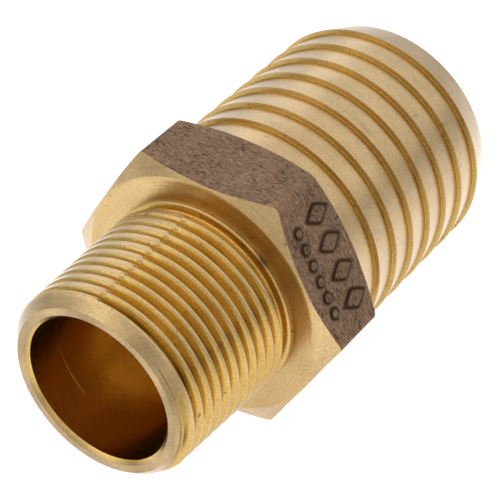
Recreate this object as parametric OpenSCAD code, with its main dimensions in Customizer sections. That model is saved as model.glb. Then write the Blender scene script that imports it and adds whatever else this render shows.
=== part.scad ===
// Reducing hose adapter: a male taper pipe thread, a cast hex collar and a barbed tail, in one piece.
// The flow axis is X. The thread opens towards -X and the barbed tail towards +X.
// Two wrench flats face +Z and -Z. The origin is the middle of the bounding box. Millimetres.

/* [Overall] */
// length over both ends
total_l = 83.2; // [70:0.1:95]
// bore through the threaded end
thread_bore_d = 25.4; // [22:0.1:27]
// bore through the barbed tail
tail_bore_d = 33.6; // [30:0.1:35]
// where the narrow bore starts to widen, from the thread end
widening_x = 30.6; // [24:0.1:34]
// length of the cone between the two bores
widening_l = 5; // [2:0.5:8]

/* [Pipe thread] */
// distance between thread crests
pitch = 2.2087; // [1.8:0.0001:2.6]
// crest diameter at the thread end
crest_d = 32.6; // [30:0.1:35]
// growth of the radius per unit of length
taper = 0.03125; // [0.01:0.00125:0.05]
// height of the thread above its core
thread_h = 1.5; // [1:0.05:1.8]
// width of the flat on the crest
crest_w = 0.35; // [0.1:0.05:0.6]
// centre of the crest, from the thread end, on the +Y side of the first turn
crest_x = 1.27; // [0:0.01:2.2]
// turns of thread
thread_turns = 11.15; // [8:0.05:12]
// outer diameter of the end face, inside the lead bevel
end_face_d = 29.3; // [27:0.1:31]
// steepness of the lead bevel, radius per unit of length
bevel_slope = 0.9; // [0.6:0.01:2]
// bore diameter at the end face, outside the bore's chamfer
mouth_d = 26.8; // [25.6:0.1:28]
// length of the bore's chamfer
mouth_l = 0.6; // [0.1:0.1:1.5]

/* [Collar] */
// front face of the hex, from the thread end
hex_front_x = 26.95; // [22:0.05:30]
// back edge of the hex, where the tail starts
hex_back_x = 40.6; // [34:0.1:44]
// hex across its flats
hex_af = 43.5; // [40:0.1:48]
// diameter over the six blunt corners
hex_corner_d = 49.8; // [46:0.1:50.2]
// diameter of the turned ring on the front face
front_ring_d = 42.8; // [40:0.1:43.5]
// backward slope of the front corners, length per unit of radius
front_slope = 0.53; // [0.2:0.01:1]
// forward slope of the back corners, length per unit of radius
back_slope = 0.5; // [0.2:0.01:1]
// diameter of the shoulder between the thread and the hex
shoulder_d = 34.2; // [33:0.1:36]
// length of the shoulder's straight part
shoulder_l = 0.5; // [0.2:0.05:1.5]

/* [Barbs] */
// number of barbs
barb_count = 7; // [4:1:9]
// distance between barbs
barb_pitch = 5.22; // [4:0.01:7]
// diameter over the barbs
barb_d = 42.4; // [40:0.1:45]
// diameter at the foot of each step
barb_foot_d = 40.9; // [38:0.1:42]
// lean of each step, along the axis
step_lean = 0.3; // [0:0.05:1]
// length of the narrow land on each barb
barb_land = 0.25; // [0.1:0.05:1]
// outer diameter of the tail's end face
tip_d = 37.6; // [36:0.1:39]
// length of the broken edge at the tip
tip_edge = 0.3; // [0.1:0.05:1]

/* [Casting marks] */
// height of the raised marks above the flat
mark_h = 0.35; // [0.1:0.05:0.6]
// length of the lozenges, along the flow axis
lozenge_l = 5; // [3:0.1:7]
// width of the lozenges
lozenge_w = 3; // [2:0.1:4]
// distance between the lozenges
lozenge_step = 5; // [4:0.1:6]
// centre line of the lozenges, from the thread end
lozenge_x = 35.9; // [33:0.1:38]
// diameter of the dots
dot_d = 1.5; // [0.8:0.1:2]
// distance between the dots
dot_step = 2.8; // [2:0.1:4]
// centre line of the dots, from the thread end
dot_x = 30.6; // [28:0.1:33]

/* [Hidden] */
mid_x = total_l / 2;
thread_bore_r = thread_bore_d / 2;
tail_bore_r = tail_bore_d / 2;
wide_x = widening_x + widening_l;
hex_r = hex_af / 2;
hex_corner_r = hex_corner_d / 2;
front_ring_r = front_ring_d / 2;
shoulder_r = shoulder_d / 2;
end_face_r = end_face_d / 2;
flank = tan(30);
core_r0 = crest_d / 2 - thread_h;
bevel_end_x = (core_r0 - end_face_r) / (bevel_slope - taper);
groove_drop = shoulder_r - (core_r0 + taper * hex_front_x);
groove_end_x = hex_front_x - shoulder_l - groove_drop * flank;
barb_r = barb_d / 2;
foot_r = barb_foot_d / 2;
tip_r = tip_d / 2;
steps_per_turn = 48;
// the thread's foot is sunk this far into the core
sink = 0.08;
// the thread rises out of its core and fades into it over this many turns
fade_turns = 0.25;
first_turn = -0.3;
// the thread stays this far behind the end face
end_gap = 0.05;
marked_flat_angle = 150;
cut_over = 1;
round_fn = 160;

// Places a shape built along Z from the thread end so that it runs along X about the middle of the part.
module along_flow() {
    translate([-mid_x, 0, 0]) rotate([90, 0, 90]) children();
}

// Turns a half outline of [distance from the thread end, radius] points about the flow axis.
module turned(outline) {
    along_flow() rotate_extrude($fn = round_fn) polygon([for (p = outline) [p[1], p[0]]]);
}

function core_r(x) = core_r0 + taper * x;
function bevel_r(x) = end_face_r + bevel_slope * x;
function barb_x(k) = hex_back_x + 0.2 + barb_pitch * (k + 1);

// Threaded end without its thread: end face, lead bevel, tapered core and shoulder.
module threaded_spigot() {
    color("goldenrod") turned([
        [mouth_l, thread_bore_r],
        [0, mouth_d / 2],
        [0, end_face_r],
        [bevel_end_x, core_r(bevel_end_x)],
        [groove_end_x, core_r(groove_end_x)],
        [hex_front_x - shoulder_l, shoulder_r],
        [hex_front_x, shoulder_r],
        [hex_front_x, thread_bore_r]
    ]);
}

// How much of the thread's height is left at a given number of turns from its start.
function fade(turn) = max(0, min(1, turn / fade_turns, (thread_turns - turn) / fade_turns));

// A corner of the thread at a height above the core, kept inside the lead bevel.
function corner(x, height) =
    let (kept_x = max(x, end_gap))
    [kept_x, min(core_r(kept_x) + height, bevel_r(kept_x) + min(height, 0))];

// The four corners of the thread at one station, foot to foot, as [distance along the axis, radius].
function thread_section(x, turn) =
    let (
        half_foot = crest_w / 2 + (thread_h + sink) * flank,
        height = thread_h * fade(turn) - sink / 2
    )
    [
        corner(x - half_foot, -sink),
        corner(x - crest_w / 2, height),
        corner(x + crest_w / 2, height),
        corner(x + half_foot, -sink)
    ];

// Right-hand helical thread, swept one station at a time about the flow axis.
module pipe_thread() {
    stations = round(thread_turns * steps_per_turn);
    points = [
        for (i = [0:stations])
        let (
            turn = i / steps_per_turn,
            angle = 360 * (first_turn + turn),
            x = crest_x + pitch * (first_turn + turn)
        )
        for (c = thread_section(x, turn)) [c[0] - mid_x, c[1] * cos(angle), c[1] * sin(angle)]
    ];
    sides = [
        for (i = [0:stations - 1], j = [0:3])
        let (a = 4 * i + j, b = 4 * i + (j + 1) % 4)
        for (f = [[a, a + 4, b], [b, a + 4, b + 4]]) f
    ];
    last = 4 * stations;
    caps = [[0, 1, 2], [0, 2, 3], [last, last + 2, last + 1], [last, last + 3, last + 2]];
    color("gold") polyhedron(points = points, faces = concat(sides, caps), convexity = 10);
}

// Hex collar: two flats face up and down, both sets of corners are turned to cones, the bore widens.
module hex_collar() {
    color("peru") difference() {
        intersection() {
            along_flow() translate([0, 0, hex_front_x - cut_over])
                cylinder(h = hex_back_x - hex_front_x + 2 * cut_over, r = hex_r / cos(30), $fn = 6);
            turned([
                [hex_front_x, 0],
                [hex_front_x, front_ring_r],
                [hex_front_x + (hex_corner_r - front_ring_r) * front_slope, hex_corner_r],
                [hex_back_x - (hex_corner_r - barb_r) * back_slope, hex_corner_r],
                [hex_back_x, barb_r],
                [hex_back_x, 0]
            ]);
        }
        turned([
            [hex_front_x - cut_over, 0],
            [hex_front_x - cut_over, thread_bore_r],
            [widening_x, thread_bore_r],
            [wide_x, tail_bore_r],
            [hex_back_x + cut_over, tail_bore_r],
            [hex_back_x + cut_over, 0]
        ]);
    }
}

// Barbed tail: every step faces the collar, and every barb tapers towards the tip.
module barbed_spigot() {
    barbs = [
        for (k = [0:barb_count - 1])
        for (p = [[-step_lean, foot_r], [0, barb_r], [barb_land, barb_r]]) [barb_x(k) + p[0], p[1]]
    ];
    color("khaki") turned(concat(
        [[hex_back_x, tail_bore_r], [hex_back_x, barb_r]],
        barbs,
        [[total_l - tip_edge, tip_r + tip_edge], [total_l, tip_r], [total_l, tail_bore_r]]
    ));
}

// Raised foundry marks on one flat: a row of plain lozenges and a row of dots.
module cast_marks() {
    color("sienna") rotate([marked_flat_angle - 90, 0, 0]) translate([-mid_x, 0, hex_r - sink])
        linear_extrude(height = mark_h + sink) {
            for (i = [-1.5:1:1.5]) translate([lozenge_x, i * lozenge_step])
                scale([lozenge_l / 2, lozenge_w / 2]) circle(r = 1, $fn = 4);
            for (i = [-2.5:1:2.5]) translate([dot_x, i * dot_step]) circle(d = dot_d, $fn = 32);
        }
}

threaded_spigot();
pipe_thread();
hex_collar();
barbed_spigot();
cast_marks();
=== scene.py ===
"""Looks for the bronze hose adapter: threaded end, cast hex collar, barbed tail and foundry marks.

Every piece is a surface worked out from two parameters, one along a turned outline and one around the
flow axis. The flow axis is X, and all sizes are in metres.
"""

import math

import bpy
import numpy as np
from mathutils import Matrix, Vector


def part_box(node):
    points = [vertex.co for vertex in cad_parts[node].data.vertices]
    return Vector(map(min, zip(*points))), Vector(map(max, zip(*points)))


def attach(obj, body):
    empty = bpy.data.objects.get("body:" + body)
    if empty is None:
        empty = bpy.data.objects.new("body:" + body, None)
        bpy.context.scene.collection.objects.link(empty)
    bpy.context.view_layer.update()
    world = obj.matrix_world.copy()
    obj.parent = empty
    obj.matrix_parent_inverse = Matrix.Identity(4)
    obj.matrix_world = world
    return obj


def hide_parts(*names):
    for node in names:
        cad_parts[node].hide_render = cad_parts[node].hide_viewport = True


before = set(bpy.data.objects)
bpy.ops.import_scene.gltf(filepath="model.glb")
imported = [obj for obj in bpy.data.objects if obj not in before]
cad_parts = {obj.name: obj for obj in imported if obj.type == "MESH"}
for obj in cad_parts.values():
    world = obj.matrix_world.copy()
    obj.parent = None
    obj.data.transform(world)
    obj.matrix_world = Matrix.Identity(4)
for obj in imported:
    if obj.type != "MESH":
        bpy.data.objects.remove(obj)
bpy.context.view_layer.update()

bl_info = {
    "name": "Bronze hose adapter",
    "version": (1, 0, 0),
    "blender": (4, 5, 0),
    "location": "View3D > Sidebar > Adapter",
    "description": "Builds a cast and turned bronze hose adapter with a taper thread and a barbed tail",
    "category": "Add Mesh",
}

MM = 0.001
THREAD_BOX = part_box("threaded_spigot")
HEX_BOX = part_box("hex_collar")
TAIL_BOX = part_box("barbed_spigot")

END_X = THREAD_BOX[0][0]
HEX_FRONT_X = THREAD_BOX[1][0]
HEX_BACK_X = HEX_BOX[1][0]
TIP_X = TAIL_BOX[1][0]
SHOULDER_R = THREAD_BOX[1][2]
HEX_R = HEX_BOX[1][2]
BARB_R = TAIL_BOX[1][2]
MARKED_FLAT = math.radians(150)
# The uneven cast skin lies this far under the hex's flats
SKIN_INSET = 0.06 * MM
# Columns of points once round the threaded end and the tail, and across one flat of the hex
THREAD_COLUMNS = 340
TAIL_COLUMNS = 288
FLAT_COLUMNS = 112


# ---------------------------------------------------------------------------------------------------
# Sizes and colours that a user would change


def length(label, about, default):
    """A length property in metres, from a default in millimetres."""
    return bpy.props.FloatProperty(
        name=label, description=about, default=default * MM, unit="LENGTH", precision=5
    )


def colour(label, about, default):
    """A colour property, linear red, green and blue."""
    return bpy.props.FloatVectorProperty(
        name=label, description=about, default=default, subtype="COLOR", size=3, min=0, max=1
    )


def number(label, about, default):
    """A plain number property."""
    return bpy.props.FloatProperty(name=label, description=about, default=default)


def angle(label, about, default):
    """An angle property, from a default in degrees."""
    return bpy.props.FloatProperty(
        name=label, description=about, default=math.radians(default), subtype="ANGLE"
    )


class AdapterThreadSizes(bpy.types.PropertyGroup):
    pitch: length("Pitch", "Distance between thread crests", 2.2087)
    crest_r: length("Crest radius", "Crest radius at the end face", 16.3)
    taper: number("Taper", "Growth of the radius per unit of length", 1 / 32)
    depth: length("Depth", "Depth of a groove that is cut in full", 1.6)
    shallow: length("Shallow depth", "Depth of the grooves beside the stop line", 0.98)
    crest_x: length("Crest place", "Crest centre behind the end face, on the +Y side", 1.27)
    stop_line: angle("Stop line", "Where around the axis the cut changes depth", 88.5)
    face_r: length("End face radius", "Outer radius of the flat end face", 14.65)
    bevel: number("Bevel slope", "Radius gained per unit of length on the lead bevel", 0.9)
    mouth_r: length("Mouth radius", "Radius of the bore at the end face", 13.4)
    mouth_l: length("Mouth length", "Length of the chamfer at the bore's mouth", 0.6)
    bore_r: length("Bore radius", "Radius of the bore through the thread", 12.7)


class AdapterCollarSizes(bpy.types.PropertyGroup):
    corner_r: length("Corner radius", "Radius on the six cast corners", 1.35)
    ring_r: length("Ring radius", "Outer radius of the flat turned ring", 21.4)
    front_slope: number("Front slope", "Length per unit of radius on the front corners", 0.53)
    back_slope: number("Back slope", "Length per unit of radius on the back corners", 0.5)
    widening_x: length("Widening place", "Where the bore starts to widen, from the end face", 30.6)
    widening_l: length("Widening length", "Length of the cone between the bores", 5)


class AdapterTailSizes(bpy.types.PropertyGroup):
    barbs: bpy.props.IntProperty(name="Barbs", description="Number of barbs", default=7)
    first_x: length("First barb", "First step behind the collar's back edge", 5.42)
    step: length("Spacing", "Distance between barbs", 5.22)
    foot_r: length("Foot radius", "Radius at the foot of each step", 20.45)
    lean: length("Lean", "Lean of each step along the axis", 0.2)
    tip_r: length("Tip radius", "Outer radius at the tip", 18.95)
    bore_r: length("Bore radius", "Radius of the bore through the tail", 16.8)


class AdapterMarkSizes(bpy.types.PropertyGroup):
    height: length("Height", "Height of the marks above the flat", 0.35)
    lozenge_x: length("Lozenge row", "Middle of the row of lozenges, from the end face", 35.9)
    lozenge_l: length("Lozenge length", "Length of a lozenge along the axis", 5)
    lozenge_w: length("Lozenge width", "Width of a lozenge", 3)
    lozenge_step: length("Lozenge spacing", "Distance between lozenges", 5)
    dot_x: length("Dot row", "Middle of the row of dots, from the end face", 30.6)
    dot_d: length("Dot size", "Diameter of a dot", 1.5)
    dot_step: length("Dot spacing", "Distance between dots", 2.8)


class AdapterFinish(bpy.types.PropertyGroup):
    bronze: colour("Bronze", "Freshly turned bronze", (0.67, 0.46, 0.20))
    bronze_dull: colour("Dull bronze", "Bronze under a thin film of oil and dust", (0.54, 0.35, 0.14))
    # Painted shade: a darker, more saturated copy of the bronze for bores, grooves, barb feet and part of
    # the turned ring
    bronze_shaded: colour("Deep bronze", "Bronze without a film, in bores and grooves", (0.69, 0.44, 0.115))
    skin: colour("Cast skin", "Brown skin of the casting", (0.222, 0.134, 0.080))
    skin_dark: colour("Dark grain", "Pits in the casting's skin", (0.05, 0.025, 0.014))
    # Colour of the dark specks and stains, and also of the painted shade in grooves, barb feet and round
    # the foundry marks
    grime_and_shade: colour("Grime", "Dirt in corners and grooves", (0.026, 0.013, 0.006))


class AdapterStudio(bpy.types.PropertyGroup):
    floor: colour("Floor", "Colour of the floor", (0.5, 0.5, 0.5))
    azimuth: angle("Azimuth", "Camera direction around the part", -56.57)
    elevation: angle("Elevation", "Camera height above the horizon", 39.27)
    roll: angle("Roll", "Camera roll, anticlockwise seen from behind it", 1.2147)
    distance: length("Distance", "Camera to aim point", 324.63)
    lens: number("Lens", "Focal length in millimetres on a 36 mm sensor", 145.03)
    aim: bpy.props.FloatVectorProperty(
        name="Aim", description="Point that the camera looks at", size=3, unit="LENGTH",
        default=(-0.39 * MM, 0.26 * MM, -0.52 * MM), precision=5
    )


GROUPS = {
    "adapter_thread": AdapterThreadSizes,
    "adapter_collar": AdapterCollarSizes,
    "adapter_tail": AdapterTailSizes,
    "adapter_marks": AdapterMarkSizes,
    "adapter_finish": AdapterFinish,
    "adapter_studio": AdapterStudio,
}


# ---------------------------------------------------------------------------------------------------
# Surfaces


def rounded(points, radii, arc_steps=5):
    """An outline whose corners are arcs: each corner is replaced by a circle's arc that touches both
    of its sides, with one extra point on each side just outside the arc, so that flats shade flat."""
    points = np.array(points, float)
    out = [points[:1]]
    for before, corner, after, radius in zip(points[:-2], points[1:-1], points[2:], radii):
        a = (before - corner) / np.linalg.norm(before - corner)
        b = (after - corner) / np.linalg.norm(after - corner)
        half = math.acos(np.clip(a @ b, -1, 1)) / 2
        reach = radius / math.tan(half)
        middle = corner + (a + b) / np.linalg.norm(a + b) * radius / math.sin(half)
        t = np.linspace(0, 1, arc_steps)[:, None]
        chord = (corner + a * reach) * (1 - t) + (corner + b * reach) * t
        arc = middle + (chord - middle) / np.linalg.norm(chord - middle, axis=1)[:, None] * radius
        out += [[corner + a * reach * 1.6], arc, [corner + b * reach * 1.6]]
    return np.vstack([*out, points[-1:]])


def refined(outline, longest):
    """The same outline with every side cut into equal steps no longer than the given length."""
    parts = [
        a + (b - a) * np.linspace(0, 1, max(1, math.ceil(np.hypot(*(b - a)) / longest)) + 1)[:-1, None]
        for a, b in zip(outline[:-1], outline[1:])
    ]
    return np.vstack([*parts, outline[-1:]])


def ripple(u, v, seed, waves=7, low=2, high=11):
    """Smooth unevenness between -1 and 1: a mean of sine waves of whole numbers of turns in v."""
    rng = np.random.default_rng(seed)
    total = np.zeros(np.broadcast(u, v).shape)
    for turns, along, phase in zip(
        rng.integers(low, high, waves), rng.uniform(-1, 1, waves), rng.uniform(0, 7, waves)
    ):
        total += np.sin(turns * v + along * u + phase)
    return total / math.sqrt(waves * 2)


def wrapped_mesh(name, x, r, theta):
    """A closed mesh from a grid: row by row round a closed outline, column by column round the axis.
    The point at row i, column j is (x, r cos theta, r sin theta). Both directions wrap."""
    rows, columns = x.shape
    points = np.stack([x, r * np.cos(theta), r * np.sin(theta)], -1).reshape(-1, 3)
    i, j = np.meshgrid(np.arange(rows), np.arange(columns), indexing="ij")
    i2, j2 = (i + 1) % rows, (j + 1) % columns
    quads = np.stack([i * columns + j, i * columns + j2, i2 * columns + j2, i2 * columns + j], -1)
    mesh = bpy.data.meshes.new(name)
    mesh.from_pydata(points.tolist(), [], quads.reshape(-1, 4).tolist())
    mesh.shade_smooth()
    return mesh


def add_piece(name, mesh, materials, node):
    """Puts a mesh into the scene as a piece that rides on the body and stands for a CAD node."""
    piece = bpy.data.objects.new(name, mesh)
    bpy.context.collection.objects.link(piece)
    for material in materials:
        mesh.materials.append(material)
    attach(piece, "root")
    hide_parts(node)
    return piece


def set_mask(mesh, name, values):
    """Stores one number per vertex as a named attribute that a material reads."""
    attribute = mesh.attributes.new(name, "FLOAT", "POINT")
    attribute.data.foreach_set("value", np.asarray(values, np.float32).ravel())


def smooth_step(value, low, high):
    """0 below low, 1 above high, and an even S-curve between."""
    t = np.clip((value - low) / (high - low), 0, 1)
    return t * t * (3 - 2 * t)


def around(columns):
    """Equal angles once round the axis, as one row."""
    return np.linspace(0, 2 * math.pi, columns, endpoint=False)[None, :]


def angle_between(theta, middle):
    """The shorter way round from one angle to the other, never negative."""
    return np.abs(np.mod(theta - middle + math.pi, 2 * math.pi) - math.pi)


def soft_max(a, b, blend):
    """The larger of two values, with the corner between them rounded over the blend."""
    return (a + b + np.sqrt((a - b) ** 2 + blend**2)) / 2


def thread_radius(x, theta, t):
    """Radius of the threaded end at distance x behind the end face, and how deep that is in a groove
    from 0 to 1. The blank is the tapered crest cone, kept under the lead bevel. The groove is a
    60 degree V about a helix that gains one pitch per turn, shallow on the far side of the stop line,
    with a round crest and root. Before the collar the thread changes over to a relief groove, whose
    steep back wall climbs to the shoulder."""
    crest = t.crest_r + t.taper * x
    bevel = t.face_r + t.bevel * x
    turns = (x - t.crest_x) / t.pitch - theta / (2 * math.pi)
    off_groove = np.abs(turns - np.floor(turns) - 0.5) * t.pitch
    # The cut turns shallow at once behind the stop line, and deep again about half a turn later
    behind = np.mod(t.stop_line - theta, 2 * math.pi)
    shallow = smooth_step(behind, 0, 0.016) * (1 - smooth_step(behind, 2.1, 3.4))
    depth = t.depth + (t.shallow - t.depth) * shallow
    # The first groove runs in from nothing over the second half of its turn
    depth = depth * np.where(turns < 0, 0.01 + 0.99 * smooth_step(theta, 2.5, 3.5), 1)
    flank = depth - (off_groove + 0.03 * MM) * math.sqrt(3)
    cut = soft_max(flank, 0, 0.22 * MM * (1 - 0.6 * shallow))
    cut = -soft_max(-cut, 0.10 * MM - depth, 0.10 * MM)
    thread = -soft_max(cut - crest - 0.05 * MM * shallow, -bevel, 0.06 * MM)
    # The relief groove, by the distance left to the collar
    run_out = HEX_FRONT_X - END_X - x
    rise = SHOULDER_R - soft_max((run_out - 0.42 * MM) * 3.5, 0, 0.1 * MM)
    relief = soft_max(rise, crest - 1.35 * MM, 0.12 * MM)
    ends = smooth_step(run_out, 1.62 * MM, 1.95 * MM)
    radius = thread * ends + relief * (1 - ends)
    return radius, np.clip(cut / depth * ends + (crest - radius) / (1.5 * MM) * (1 - ends), 0, 1)


def hexagon_radius(theta, half_width, corner_r):
    """Distance from the axis to a hexagon with rounded corners: the flat's plane at half_width, or
    the corner's circle beyond the point where the circle touches the flat."""
    phi = np.abs(np.mod(theta - math.pi / 2 + math.pi / 6, math.pi / 3) - math.pi / 6)
    flat = half_width / np.cos(phi)
    centre = (half_width - corner_r) / math.cos(math.pi / 6)
    off = math.pi / 6 - phi
    arc = centre * np.cos(off) + np.sqrt(np.maximum(corner_r**2 - (centre * np.sin(off)) ** 2, 0))
    touches = half_width * np.tan(phi) > (half_width - corner_r) * math.tan(math.pi / 6)
    return np.where(touches, arc, flat)


# ---------------------------------------------------------------------------------------------------
# Materials


class Wire:
    """One value in a material. Arithmetic on wires adds Math nodes."""

    def __init__(self, sheet, socket):
        self.sheet = sheet
        self.socket = socket

    def _math(self, operation, *values):
        return self.sheet.node("ShaderNodeMath", {"operation": operation}, *values)

    def __add__(self, other):
        return self._math("ADD", self, other)

    def __sub__(self, other):
        return self._math("SUBTRACT", self, other)

    def __rsub__(self, other):
        return self._math("SUBTRACT", other, self)

    def __mul__(self, other):
        return self._math("MULTIPLY", self, other)

    def __pow__(self, other):
        return self._math("POWER", self, other)

    __radd__ = __add__
    __rmul__ = __mul__


class Sheet:
    """A material or a world being built, with one method that adds any node."""

    def __init__(self, owner):
        self.owner = owner
        self.owner.use_nodes = True
        self.tree = self.owner.node_tree
        self.tree.nodes.clear()

    def node(self, kind, settings=None, *values, output=0, **named):
        """Adds a node: its settings first, then the values or wires of its sockets."""
        node = self.tree.nodes.new(kind)
        for key, value in (settings or {}).items():
            if key == "stops":
                self._ramp(node.color_ramp, value)
            else:
                setattr(node, key, value)
        for key, value in [*enumerate(values), *named.items()]:
            socket = node.inputs[key if isinstance(key, int) else key.replace("_", " ")]
            if isinstance(value, Wire):
                self.tree.links.new(value.socket, socket)
            else:
                socket.default_value = value
        return Wire(self, node.outputs[output]) if node.outputs else None

    @staticmethod
    def _ramp(ramp, stops):
        while len(ramp.elements) < len(stops):
            ramp.elements.new(0.5)
        for element, (position, shade) in zip(ramp.elements, stops):
            element.position = position
            element.color = (*shade, 1) if isinstance(shade, tuple) else (shade, shade, shade, 1)

    def ramp(self, value, *stops):
        """A number drawn through a ramp of (position, grey or colour) stops."""
        return self.node("ShaderNodeValToRGB", {"stops": stops}, value)

    def noise(self, where, scale, detail=3.0, roughness=0.5):
        """Fractal noise at a number of cells per metre."""
        return self.node(
            "ShaderNodeTexNoise", None, Vector=where, Scale=scale, Detail=detail, Roughness=roughness
        )

    def rings(self, distance, scale):
        """Fractal noise that changes with one number only."""
        return self.node(
            "ShaderNodeTexNoise", {"noise_dimensions": "1D"}, W=distance, Scale=scale, Detail=2.0
        )

    def mix(self, amount, first, second, blend="MIX"):
        """Two colours mixed by an amount."""
        node = self.tree.nodes.new("ShaderNodeMix")
        node.data_type = "RGBA"
        node.blend_type = blend
        for key, value in ((0, amount), (6, first), (7, second)):
            if isinstance(value, Wire):
                self.tree.links.new(value.socket, node.inputs[key])
            elif key == 0:
                node.inputs[key].default_value = value
            else:
                node.inputs[key].default_value = (*value, 1)
        return Wire(self, node.outputs[2])

    def place(self):
        """Object coordinates."""
        return self.node("ShaderNodeTexCoord", None, output=3)

    def parts(self, vector):
        """The three numbers of a vector."""
        node = self.tree.nodes.new("ShaderNodeSeparateXYZ")
        self.tree.links.new(vector.socket, node.inputs[0])
        return [Wire(self, socket) for socket in node.outputs]

    def stretched(self, where, scale):
        """Coordinates scaled along each axis."""
        return self.node("ShaderNodeMapping", None, Vector=where, Scale=scale)

    def mask(self, name):
        """A number stored on the mesh."""
        return self.node("ShaderNodeAttribute", {"attribute_name": name}, output=2)

    def bumped(self, height, distance):
        """A surface normal that follows a height, in metres at a height of 1."""
        return self.node("ShaderNodeBump", None, Height=height, Distance=distance, Strength=1.0)

    def finish(self, **sockets):
        """Ends the material with a Principled shader."""
        shader = self.node("ShaderNodeBsdfPrincipled", None, **sockets)
        self.node("ShaderNodeOutputMaterial", None, Surface=shader)
        return self.owner


def lathe_lines(sheet, where):
    """Tool lines of turning: noise that changes only with the distance travelled by the tool, which is
    the place along the axis plus the distance from it."""
    x, y, z = sheet.parts(where)
    travelled = x + (y * y + z * z) ** 0.5
    return sheet.rings(travelled, 2600.0), sheet.rings(travelled, 420.0)


def turned_bronze(finish):
    """Satin turned bronze under a thin film of oil: fine tool lines, faint clouds, a few dark specks,
    grime and painted shade where the mesh's masks say, and in bores and grooves a painted-shade bronze
    that is darker, more saturated, smoother and without the film."""
    if "satin_bronze" in bpy.data.materials:
        return bpy.data.materials["satin_bronze"]
    sheet = Sheet(bpy.data.materials.new("satin_bronze"))
    where = sheet.place()
    fine, broad = lathe_lines(sheet, where)
    cloud = sheet.noise(where, 110.0, detail=4.0)
    film = sheet.ramp(cloud, (0.38, 0.0), (0.72, 1.0))
    sheltered = sheet.mask("sheltered")
    soil = sheet.mask("soil")
    coat = (0.8 - sheltered * 0.8) * (1 - soil * 0.7)
    shade = sheet.mix(film * 0.55, tuple(finish.bronze), tuple(finish.bronze_dull))
    lines = sheet.ramp(fine * 0.6 + broad * 0.4, (0.3, 0.8), (0.7, 1.0))
    lined = sheet.ramp(sheet.noise(where, 260.0, detail=2.0), (0.40, 0.1), (0.62, 1.0))
    shade = sheet.mix(lined, shade, lines, "MULTIPLY")
    # Painted shade: recesses take the darker, more saturated bronze
    shade = sheet.mix(sheltered * 0.9, shade, tuple(finish.bronze_shaded))
    specks = sheet.ramp(sheet.noise(where, 900.0, detail=2.0), (0.70, 0.0), (0.76, 1.0))
    shade = sheet.mix(specks * 0.6, shade, tuple(finish.grime_and_shade))
    grain = sheet.ramp(sheet.noise(where, 2800.0, detail=3.0), (0.3, 0.74), (0.7, 1.0))
    shade = sheet.mix(1.0, shade, grain, "MULTIPLY")
    # Grime, stains and painted shade where the mask says
    shade = sheet.mix(soil, shade, tuple(finish.grime_and_shade))
    satin = sheet.ramp(cloud * 0.6 + broad * 0.4, (0.3, 0.24), (0.7, 0.36))
    roughness = satin * (1 - sheltered * 0.3)
    nicks = sheet.noise(where, 1500.0, detail=2.0)
    relief = (fine * 0.7 + broad * 0.6 + nicks * 0.6) * (1 - sheltered * 0.5)
    normal = sheet.bumped(relief, 0.014 * MM)
    return sheet.finish(
        Base_Color=shade, Metallic=1.0, Roughness=roughness, Normal=normal,
        Coat_Weight=coat, Coat_Roughness=0.25, Coat_IOR=1.5
    )


def cast_skin(finish):
    """As-cast bronze: brown, dull and streaky, with dark pits, light wear, a rough surface and painted
    shadow round the foundry marks where the mask says.
    """
    if "cast_skin" in bpy.data.materials:
        return bpy.data.materials["cast_skin"]
    sheet = Sheet(bpy.data.materials.new("cast_skin"))
    where = sheet.place()
    grain = sheet.noise(sheet.stretched(where, (0.9, 1.0, 1.0)), 2600.0, detail=4.0, roughness=0.7)
    streaks = sheet.noise(sheet.stretched(where, (2.2, 0.7, 0.7)), 1300.0, detail=5.0, roughness=0.65)
    patches = sheet.noise(where, 160.0, detail=4.0)
    shade = sheet.ramp(
        grain * 0.35 + streaks * 0.5 + patches * 0.15,
        (0.40, tuple(finish.skin_dark)),
        (0.48, tuple(c * 0.8 for c in finish.skin)),
        (0.55, tuple(finish.skin)),
        (0.64, tuple(min(1, c * 1.7) for c in finish.skin)),
    )
    # Painted shadow round the foot of the foundry marks, broken up by the streaks
    painted_mark_shadow = sheet.mask("soil") * sheet.ramp(streaks, (0.34, 0.7), (0.52, 1.0))
    shade = sheet.mix(painted_mark_shadow, shade, tuple(finish.grime_and_shade))
    roughness = sheet.ramp(grain, (0.3, 0.68), (0.7, 0.52)) + painted_mark_shadow * 0.3
    normal = sheet.bumped(grain * 0.5 + streaks * 0.6 + patches * 0.4, 0.07 * MM)
    return sheet.finish(
        Base_Color=shade, Metallic=0.3 - painted_mark_shadow * 0.3, Roughness=roughness, Normal=normal,
        Specular_IOR_Level=0.12
    )


# ---------------------------------------------------------------------------------------------------
# Operators, one for each piece


def sizes(context, name):
    """The scene's property group of that name."""
    return getattr(context.scene, name)


# Stains: distance behind the end face and length in millimetres, angle and width in degrees, strength
THREAD_STAINS = ((26.7, 0.35, 133, 4, 0.8), (24.9, 0.5, 119, 6, 0.35), (2.2, 0.15, 112, 20, 0.5))
TAIL_STAINS = (
    (46.9, 0.7, 89, 3.5, 0.28), (76.6, 0.2, 80, 7, 0.6), (62.7, 0.15, 133, 2.0, 0.8),
    (71.6, 0.9, 141, 0.5, 0.6), (68.0, 0.7, 129, 0.5, 0.5), (57.6, 0.2, 118, 6, 0.4),
    (52.0, 0.5, 248, 5, 0.3), (66.0, 0.8, 305, 3, 0.3), (44.0, 0.4, 20, 4, 0.3),
)


def stained(x, theta, stains):
    """How stained each point is: a bell curve in both directions at every stain, and the strongest of
    them counts."""
    total = np.zeros(np.broadcast(x, theta).shape)
    for place, length_mm, degrees, width, strength in stains:
        along = (x - place * MM) / (length_mm * MM)
        across = (theta - math.radians(degrees)) / math.radians(width)
        total = np.maximum(total, strength * np.exp(-(along**2) - across**2))
    return total


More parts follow.
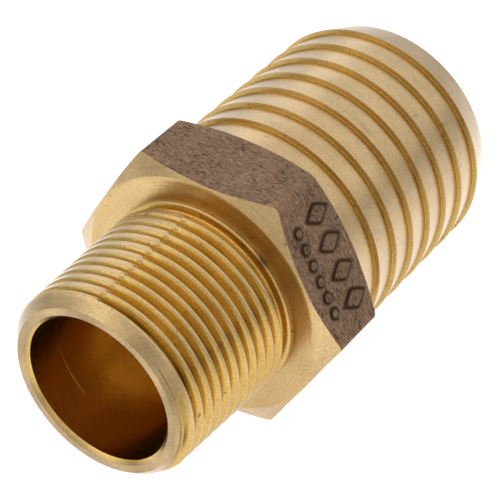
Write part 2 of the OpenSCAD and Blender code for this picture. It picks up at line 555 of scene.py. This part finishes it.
# Hairline scratches round the bore: distance behind the end face in millimetres, then the middle and
# the half width of the arc in degrees
BORE_SCRATCHES = ((7.1, -20, 38), (7.8, 0, 22))
# Rows of points across a scratch, in millimetres from its middle, and the height of its burr
SCRATCH_ROWS = (0.12, 0.05, 0, -0.05, -0.12)
BURR = 0.03 * MM


def with_scratch_rows(outline, bore_r):
    """The outline with close rows put in at every scratch, where it runs along the bore towards the
    end face."""
    for place, _, _ in BORE_SCRATCHES:
        rows = [(place * MM + step * MM, bore_r) for step in SCRATCH_ROWS]
        outline = np.insert(outline, np.searchsorted(-outline[:, 0], -place * MM), rows, axis=0)
    return outline


def scratch_ridge(x, theta):
    """Height of the burr that a scratch leaves: full at its own distance behind the end face, and
    fading out at both ends of its arc."""
    total = np.zeros(np.broadcast(x, theta).shape)
    for place, middle, half in BORE_SCRATCHES:
        off = angle_between(theta, math.radians(middle))
        fade = 1 - smooth_step(off, math.radians(half * 0.6), math.radians(half))
        total = np.maximum(total, fade * (np.abs(x - place * MM) < 0.01 * MM) * BURR)
    return total


def thread_dirt_and_shade(along, theta, groove, t):
    """How dirty and how shaded each point on the outside of the threaded end is, from 0 to 1: the most of
    the painted shade and grime in the grooves and in the first turns, and of what lies along the stop
    line, on the lead bevel, in a fine crack round the bevel and in the stains."""
    left = HEX_FRONT_X - END_X - along
    threaded = smooth_step(along, 1.6 * MM, 2.4 * MM) * smooth_step(left, 1.7 * MM, 2.2 * MM)
    # Painted shade and grime in the groove bottoms, stronger where the groove is deeper
    grooves = smooth_step(groove, 0.4, 0.95) * (0.3 + 0.2 * ripple(along * 500, theta, seed=9))
    grooves = np.maximum(grooves, 0.08) * threaded
    off_line = angle_between(theta, t.stop_line - 0.02)
    line = (1 - smooth_step(off_line, 0.004, 0.025)) * 0.12 * (along > 2 * MM)
    # Painted shade and grime in the groove bottoms of the first turns
    first = (1 - smooth_step(along, 2 * MM, 6 * MM)) * smooth_step(groove, 0.3, 0.7)
    first = first * (0.5 + 0.5 * ripple(along * 200, theta, seed=13))
    bevel = 1 - smooth_step(along, 1.2 * MM, 2 * MM)
    bevel = bevel * (0.24 + 0.2 * ripple(along * 900, theta, seed=17))
    crack = np.exp(-(((along - 0.62 * MM) / (0.09 * MM)) ** 2)) * smooth_step(theta, 2.1, 2.5)
    crack = crack * np.clip(0.5 + 0.5 * ripple(along * 100, theta, seed=23), 0, 0.85)
    layers = (grooves, line, first, bevel, crack, stained(along, theta, THREAD_STAINS))
    return np.clip(np.max(np.stack(np.broadcast_arrays(*layers)), axis=0), 0, 1)


class MESH_OT_adapter_threaded_end(bpy.types.Operator):
    """Threaded end: end face, lead bevel, helical taper thread, relief groove, shoulder and bore"""

    bl_idname = "mesh.adapter_threaded_end"
    bl_label = "Threaded end"

    def execute(self, context):
        t = sizes(context, "adapter_thread")
        finish = sizes(context, "adapter_finish")
        theta = around(THREAD_COLUMNS)
        span = HEX_FRONT_X - END_X
        along = np.concatenate([
            [0.04 * MM, 0.12 * MM], np.arange(0.2 * MM, span - 0.04 * MM, 0.11 * MM), [span]
        ])[:, None]
        outer_r, groove = thread_radius(along, theta, t)
        scuffs = ripple(along * 900, theta, seed=3) * ripple(along * 300, theta, seed=5)
        outer_r = outer_r - np.clip(scuffs - 0.8, 0, 1) * 0.08 * MM
        inside = refined(rounded([
            (span, SHOULDER_R),
            (span, t.bore_r),
            (t.mouth_l, t.bore_r),
            (0, t.mouth_r),
            (0, t.face_r),
            (0.02 * MM, t.face_r + 0.02 * MM),
        ], [0.05 * MM, 0.2 * MM, 0.12 * MM, 0.01 * MM]), 4 * MM)[1:-1]
        inside = with_scratch_rows(inside, t.bore_r)
        inner_x = np.broadcast_to(inside[:, :1], (len(inside), theta.size))
        inner_r = inside[:, 1:] - scratch_ridge(inner_x, theta)
        x = np.vstack([np.broadcast_to(along, outer_r.shape), inner_x]) + END_X
        r = np.vstack([outer_r, inner_r])
        mesh = wrapped_mesh("threaded_end", x, r, np.broadcast_to(theta, x.shape))
        face_dirt = (inner_x < 0.3 * MM) * (0.3 + 0.2 * ripple(inner_r * 900, theta, seed=19))
        # Grime, stains and painted shade in the groove bottoms
        dirt_and_shade = thread_dirt_and_shade(along, theta, groove, t)
        set_mask(mesh, "soil", np.vstack([dirt_and_shade, np.clip(face_dirt, 0, 1)]))
        # Painted shade: the bore and the groove bottoms take the darker bronze
        in_bore = (inner_r < t.bore_r + 0.3 * MM) * (inner_x > 0.3 * MM)
        unscratched = inner_r > t.bore_r - 0.01 * MM
        set_mask(mesh, "sheltered", np.vstack([smooth_step(groove, 0.0, 0.2), in_bore * unscratched]))
        piece = add_piece(
            "threaded_end", mesh, [turned_bronze(finish)], "threaded_spigot"
        )
        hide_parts("pipe_thread")
        return {"FINISHED"}


def mark_places(marks):
    """For every mark: its middle along the axis and across the flat, its half length, its half width,
    and the power of sine and cosine that draws its outline (2 is a lozenge, 1 an ellipse)."""
    lozenges = [
        (END_X + marks.lozenge_x, i * marks.lozenge_step, marks.lozenge_l / 2, marks.lozenge_w / 2, 1.7)
        for i in (-1.5, -0.5, 0.5, 1.5)
    ]
    dots = [
        (END_X + marks.dot_x, i * marks.dot_step, marks.dot_d / 2, marks.dot_d / 2, 1.0)
        for i in (-2.5, -1.5, -0.5, 0.5, 1.5, 2.5)
    ]
    return lozenges + dots


def mark_foot_shadow(x, across, marks):
    """How much painted shadow each point of the marked flat gets round the foot of the marks: 1 at a
    mark's outline and under it, and 0 further off. The outline's own equation, raised to even out its
    scale, gives the gap to the mark."""
    total = np.zeros(x.shape)
    for mark_x, mark_across, half_x, half_y, power in mark_places(marks):
        along_share = (np.abs(x - mark_x) / half_x) ** (2 / power)
        across_share = (np.abs(across - mark_across) / half_y) ** (2 / power)
        gap = ((along_share + across_share) ** (power / 2) - 1) * half_y
        total = np.maximum(total, 1 - smooth_step(gap, 0.25 * MM, 0.6 * MM))
    return total


class MESH_OT_adapter_hex_collar(bpy.types.Operator):
    """Hex collar: six cast flats between two turned cones, and the bore that widens inside it"""

    bl_idname = "mesh.adapter_hex_collar"
    bl_label = "Hex collar"

    def execute(self, context):
        c = sizes(context, "adapter_collar")
        t = sizes(context, "adapter_thread")
        tail = sizes(context, "adapter_tail")
        marks = sizes(context, "adapter_marks")
        finish = sizes(context, "adapter_finish")
        # Columns crowd towards the corners, where the outline bends
        part = np.linspace(-1, 1, FLAT_COLUMNS, endpoint=False)
        sextant = (part + 0.68 / math.pi * np.sin(math.pi * part)) * math.pi / 6
        theta = np.concatenate([sextant + math.pi / 3 * k for k in range(6)])[None, :] + math.pi / 2
        uneven = ripple(0, theta, seed=11, low=3, high=17) * 0.05 * MM
        reach = hexagon_radius(theta, HEX_R - SKIN_INSET, c.corner_r) + uneven
        front_x = HEX_FRONT_X + (reach - c.ring_r) * c.front_slope
        back_x = HEX_BACK_X - (reach - BARB_R) * c.back_slope
        rows_x, rows_r, rows_skin = [], [], []

        def strip(x0, r0, x1, r1, steps, skin=False):
            """Adds rows that run straight from one ring to the next."""
            s = steps[:, None]
            rows_x.append((x0 * (1 - s) + x1 * s) + 0 * theta)
            rows_r.append((r0 * (1 - s) + r1 * s) + 0 * theta)
            rows_skin.append(np.full(len(steps), skin))

        def even(count):
            """Equal steps from one ring towards the next."""
            return np.linspace(0, 1, count, endpoint=False)

        eased = np.array([0, 0.004, 0.012, 0.03, 0.1, 0.3, 0.5, 0.7, 0.9, 0.97, 0.988, 0.996])
        narrow_x = END_X + c.widening_x
        wide_x = narrow_x + c.widening_l
        strip(HEX_FRONT_X, t.bore_r, HEX_FRONT_X, c.ring_r, even(14))
        strip(HEX_FRONT_X, c.ring_r, front_x, reach, eased)
        strip(front_x, reach, back_x, reach, even(40), skin=True)
        strip(back_x, reach, HEX_BACK_X, BARB_R, eased)
        strip(HEX_BACK_X, BARB_R, HEX_BACK_X, tail.bore_r, even(3))
        strip(HEX_BACK_X, tail.bore_r, wide_x, tail.bore_r, even(4))
        strip(wide_x, tail.bore_r, narrow_x, t.bore_r, even(4))
        strip(narrow_x, t.bore_r, HEX_FRONT_X, t.bore_r, even(4))
        x, r = np.vstack(rows_x), np.vstack(rows_r)
        skin_rows = np.concatenate(rows_skin)
        theta = np.broadcast_to(theta, x.shape)
        mesh = wrapped_mesh("hex_collar", x, r, theta)
        mesh.polygons.foreach_set("material_index", np.repeat(skin_rows, x.shape[1]).astype(np.int32))
        # Painted shadow on the marked flat round the foot of each mark
        dirt_and_shade = mark_foot_shadow(x, r * np.sin(theta - MARKED_FLAT), marks)
        on_marked_flat = (np.cos(theta - MARKED_FLAT) > 0.8) * skin_rows[:, None]
        set_mask(mesh, "soil", dirt_and_shade * on_marked_flat * 0.95)
        # Painted shade: the bore in full and the turned ring a little take the darker bronze
        in_bore = (r < tail.bore_r + 0.1 * MM) * (x > HEX_FRONT_X + 0.1 * MM)
        on_ring = (r < c.ring_r + 0.1 * MM) * (x < HEX_FRONT_X + 0.05 * MM)
        set_mask(mesh, "sheltered", in_bore + on_ring * 0.2)
        materials = [turned_bronze(finish), cast_skin(finish)]
        add_piece("hex_collar_piece", mesh, materials, "hex_collar")
        return {"FINISHED"}


class MESH_OT_adapter_barbed_tail(bpy.types.Operator):
    """Barbed tail: seven barbs that taper towards the tip, with rounded feet, and the wide bore"""

    bl_idname = "mesh.adapter_barbed_tail"
    bl_label = "Barbed tail"

    def execute(self, context):
        tail = sizes(context, "adapter_tail")
        finish = sizes(context, "adapter_finish")
        points = [(HEX_BACK_X, tail.bore_r), (HEX_BACK_X, BARB_R)]
        radii = [0.02 * MM]
        steps = [HEX_BACK_X + tail.first_x + tail.step * k for k in range(tail.barbs)]
        for x in steps:
            points += [(x - tail.lean, tail.foot_r), (x, BARB_R)]
            radii += [0.08 * MM, 0.05 * MM]
        points += [(TIP_X, tail.tip_r), (TIP_X, tail.bore_r), (HEX_BACK_X, tail.bore_r)]
        radii += [0.3 * MM, 0.3 * MM]
        outline = refined(rounded(points, radii), 1.3 * MM)[:-1]
        theta = around(TAIL_COLUMNS)
        x = outline[:, :1] + 0 * theta
        r = outline[:, 1:] + 0 * theta
        mesh = wrapped_mesh("barbed_tail", x, r, np.broadcast_to(theta, x.shape))
        # Painted shade in the foot of each step, the crease where it meets the band
        foot = np.zeros(len(outline))
        for step_x in steps:
            near = np.hypot(outline[:, 0] - (step_x - tail.lean), outline[:, 1] - tail.foot_r)
            foot = np.maximum(foot, 1 - smooth_step(near, 0.1 * MM, 0.9 * MM))
        stains = stained(x - END_X, theta * r / BARB_R, TAIL_STAINS)
        # Painted shade in the feet of the steps, and real stains
        set_mask(mesh, "soil", np.maximum(foot[:, None] * 0.2, stains))
        # The bore and the feet of the steps take the darker painted-shade bronze
        set_mask(mesh, "sheltered", np.maximum(r < tail.bore_r + 0.1 * MM, foot[:, None]))
        add_piece("barbed_tail", mesh, [turned_bronze(finish)], "barbed_spigot")
        return {"FINISHED"}


def signed_power(value, power):
    """A power that keeps the sign."""
    return np.sign(value) * np.abs(value) ** power


def pillow(half_x, half_y, height, power, rows=10, columns=28):
    """A closed superellipsoid: x and y are a signed power of the cosine and sine of one angle, which
    draws the outline, and z is a flat-topped dome over the other angle. A single point closes each
    pole."""
    u = around(columns)
    v = np.linspace(math.pi / 2, -math.pi / 2, rows + 2)[1:-1, None]
    ring = np.cos(v) ** 0.5
    x = half_x * ring * signed_power(np.cos(u), power)
    y = half_y * ring * signed_power(np.sin(u), power)
    z = height * signed_power(np.sin(v), 0.7) + 0 * u
    grid = np.stack([x, y, z], -1).reshape(-1, 3)
    points = np.vstack([grid, [[0, 0, height], [0, 0, -height]]])
    i, j = np.meshgrid(np.arange(rows - 1), np.arange(columns), indexing="ij")
    j2 = (j + 1) % columns
    quads = np.stack([i, i + 1, i + 1, i], -1) * columns + np.stack([j, j, j2, j2], -1)
    j, j2 = j[0], j2[0]
    last = (rows - 1) * columns
    top = np.stack([j, j2, np.full(columns, rows * columns)], -1)
    bottom = np.stack([last + j2, last + j, np.full(columns, rows * columns + 1)], -1)
    return points, quads.reshape(-1, 4), np.vstack([top, bottom])


class MESH_OT_adapter_cast_marks(bpy.types.Operator):
    """Foundry marks: a row of plain raised lozenges and a row of dots on one flat"""

    bl_idname = "mesh.adapter_cast_marks"
    bl_label = "Foundry marks"

    def execute(self, context):
        marks = sizes(context, "adapter_marks")
        finish = sizes(context, "adapter_finish")
        out = np.array([0, math.cos(MARKED_FLAT), math.sin(MARKED_FLAT)])
        # Right-handed with the flow axis and the flat's own direction, so that faces point outwards
        side = np.array([0, math.sin(MARKED_FLAT), -math.cos(MARKED_FLAT)])
        points, faces, start = [], [], 0
        for mark_x, across, half_x, half_y, power in mark_places(marks):
            form, quads, ends = pillow(half_x, half_y, marks.height, power)
            middle = np.array([mark_x, 0, 0]) + side * across + out * (HEX_R - SKIN_INSET)
            points.append(middle + form @ np.array([[1, 0, 0], side, out]))
            faces += (quads + start).tolist() + (ends + start).tolist()
            start += len(form)
        mesh = bpy.data.meshes.new("cast_marks")
        mesh.from_pydata(np.vstack(points).tolist(), [], faces)
        mesh.shade_smooth()
        height = (np.vstack(points) @ out - HEX_R) / marks.height
        # Painted shade: the marks are dark low down, where they meet the flat, and lighter on top
        set_mask(mesh, "soil", 1.0 - 0.85 * smooth_step(height, 0.4, 0.75))
        add_piece("foundry_marks", mesh, [cast_skin(finish)], "cast_marks")
        return {"FINISHED"}


# ---------------------------------------------------------------------------------------------------
# The stage


# Soft lights: name, place, side in metres and power in watts
LIGHTS = (
    ("overhead", (0, 0, 0.8), 1.2, 1.3),
    ("left", (-0.52, 0.40, 0.4), 0.45, 0.35),
    ("back", (0.50, 0.52, 0.28), 0.6, 0.4),
)
FLOOR_HALF = 2.0


def add_light(name, place, side, watts):
    """A square soft light at a place, turned towards the origin."""
    light = bpy.data.lights.new(name, "AREA")
    light.shape = "SQUARE"
    light.size = side
    light.energy = watts
    lamp = bpy.data.objects.new(name, light)
    lamp.location = place
    lamp.rotation_euler = (-Vector(place)).to_track_quat("-Z", "Y").to_euler()
    bpy.context.collection.objects.link(lamp)


def towards_camera(studio):
    """The direction from the part to the camera, from its azimuth and elevation."""
    level = math.cos(studio.elevation)
    return Vector((
        math.sin(studio.azimuth) * level, -math.cos(studio.azimuth) * level, math.sin(studio.elevation)
    ))


def pale_floor(studio):
    """A matt pale floor that glows round the part, like a light table."""
    sheet = Sheet(bpy.data.materials.new("pale_floor"))
    x, y, _ = sheet.parts(sheet.place())
    glow = sheet.ramp((x * x + y * y) ** 0.5, (0.07, 0.85), (0.13, 0.5), (0.25, 0.25))
    return sheet.finish(
        Base_Color=(*studio.floor, 1), Roughness=0.9, Emission_Color=glow, Emission_Strength=1.0
    )


def surroundings(studio):
    """White surroundings, dimmer towards the horizon and in one patch on the main camera's side."""
    sheet = Sheet(bpy.data.worlds.new("surroundings"))
    towards = sheet.node("ShaderNodeTexCoord", None, output=0)
    height = sheet.parts(towards)[2]
    sky = sheet.ramp(height, (0.0, 0.36), (0.06, 0.44), (0.19, 1.0), (1.0, 1.02))
    facing = sheet.node(
        "ShaderNodeVectorMath", {"operation": "DOT_PRODUCT"}, towards, towards_camera(studio), output=1
    )
    patch = sheet.ramp(facing, (0.88, 0.0), (0.97, 0.18), (1.0, 0.3))
    background = sheet.node("ShaderNodeBackground", None, Color=(1, 1, 1, 1), Strength=sky - patch)
    sheet.node("ShaderNodeOutputWorld", None, Surface=background)
    return sheet.owner


class OBJECT_OT_adapter_stage(bpy.types.Operator):
    """Stage: pale floor, white surroundings, soft lights and the camera"""

    bl_idname = "object.adapter_stage"
    bl_label = "Stage"

    def execute(self, context):
        studio = sizes(context, "adapter_studio")
        scene = context.scene
        corners = [(-1, -1), (1, -1), (1, 1), (-1, 1)]
        mesh = bpy.data.meshes.new("floor")
        mesh.from_pydata(
            [(FLOOR_HALF * x, FLOOR_HALF * y, HEX_BOX[0][2]) for x, y in corners], [], [(0, 1, 2, 3)]
        )
        mesh.materials.append(pale_floor(studio))
        floor = bpy.data.objects.new("floor", mesh)
        context.collection.objects.link(floor)
        scene.world = surroundings(studio)
        scene.view_settings.view_transform = "Standard"
        for light in LIGHTS:
            add_light(*light)
        camera_data = bpy.data.cameras.new("camera")
        camera_data.lens = studio.lens
        camera_data.sensor_width = 36
        camera = bpy.data.objects.new("camera", camera_data)
        back = towards_camera(studio)
        turn = (-back).to_track_quat("-Z", "Y").to_matrix() @ Matrix.Rotation(studio.roll, 3, "Z")
        place = Matrix.Translation(Vector(studio.aim) + back * studio.distance)
        camera.matrix_world = place @ turn.to_4x4()
        context.collection.objects.link(camera)
        scene.camera = camera
        return {"FINISHED"}


class VIEW3D_PT_adapter(bpy.types.Panel):
    """Lists the sizes, the colours and the operators"""

    bl_idname = "VIEW3D_PT_adapter"
    bl_label = "Bronze hose adapter"
    bl_space_type = "VIEW_3D"
    bl_region_type = "UI"
    bl_category = "Adapter"

    def draw(self, context):
        for operator in OPERATORS:
            self.layout.operator(operator.bl_idname)
        for name, group in GROUPS.items():
            column = self.layout.column(heading=name.replace("_", " ").capitalize())
            for key in group.__annotations__:
                column.prop(getattr(context.scene, name), key)


OPERATORS = (
    MESH_OT_adapter_threaded_end,
    MESH_OT_adapter_hex_collar,
    MESH_OT_adapter_barbed_tail,
    MESH_OT_adapter_cast_marks,
    OBJECT_OT_adapter_stage,
)


def register():
    for item in (*GROUPS.values(), *OPERATORS, VIEW3D_PT_adapter):
        bpy.utils.register_class(item)
    for name, group in GROUPS.items():
        setattr(bpy.types.Scene, name, bpy.props.PointerProperty(type=group))


def unregister():
    for name in GROUPS:
        delattr(bpy.types.Scene, name)
    for item in reversed((*GROUPS.values(), *OPERATORS, VIEW3D_PT_adapter)):
        bpy.utils.unregister_class(item)


def main():
    """Builds every piece and the stage."""
    register()
    bpy.ops.mesh.adapter_threaded_end()
    bpy.ops.mesh.adapter_hex_collar()
    bpy.ops.mesh.adapter_barbed_tail()
    bpy.ops.mesh.adapter_cast_marks()
    bpy.ops.object.adapter_stage()


if __name__ == "__main__":
    main()
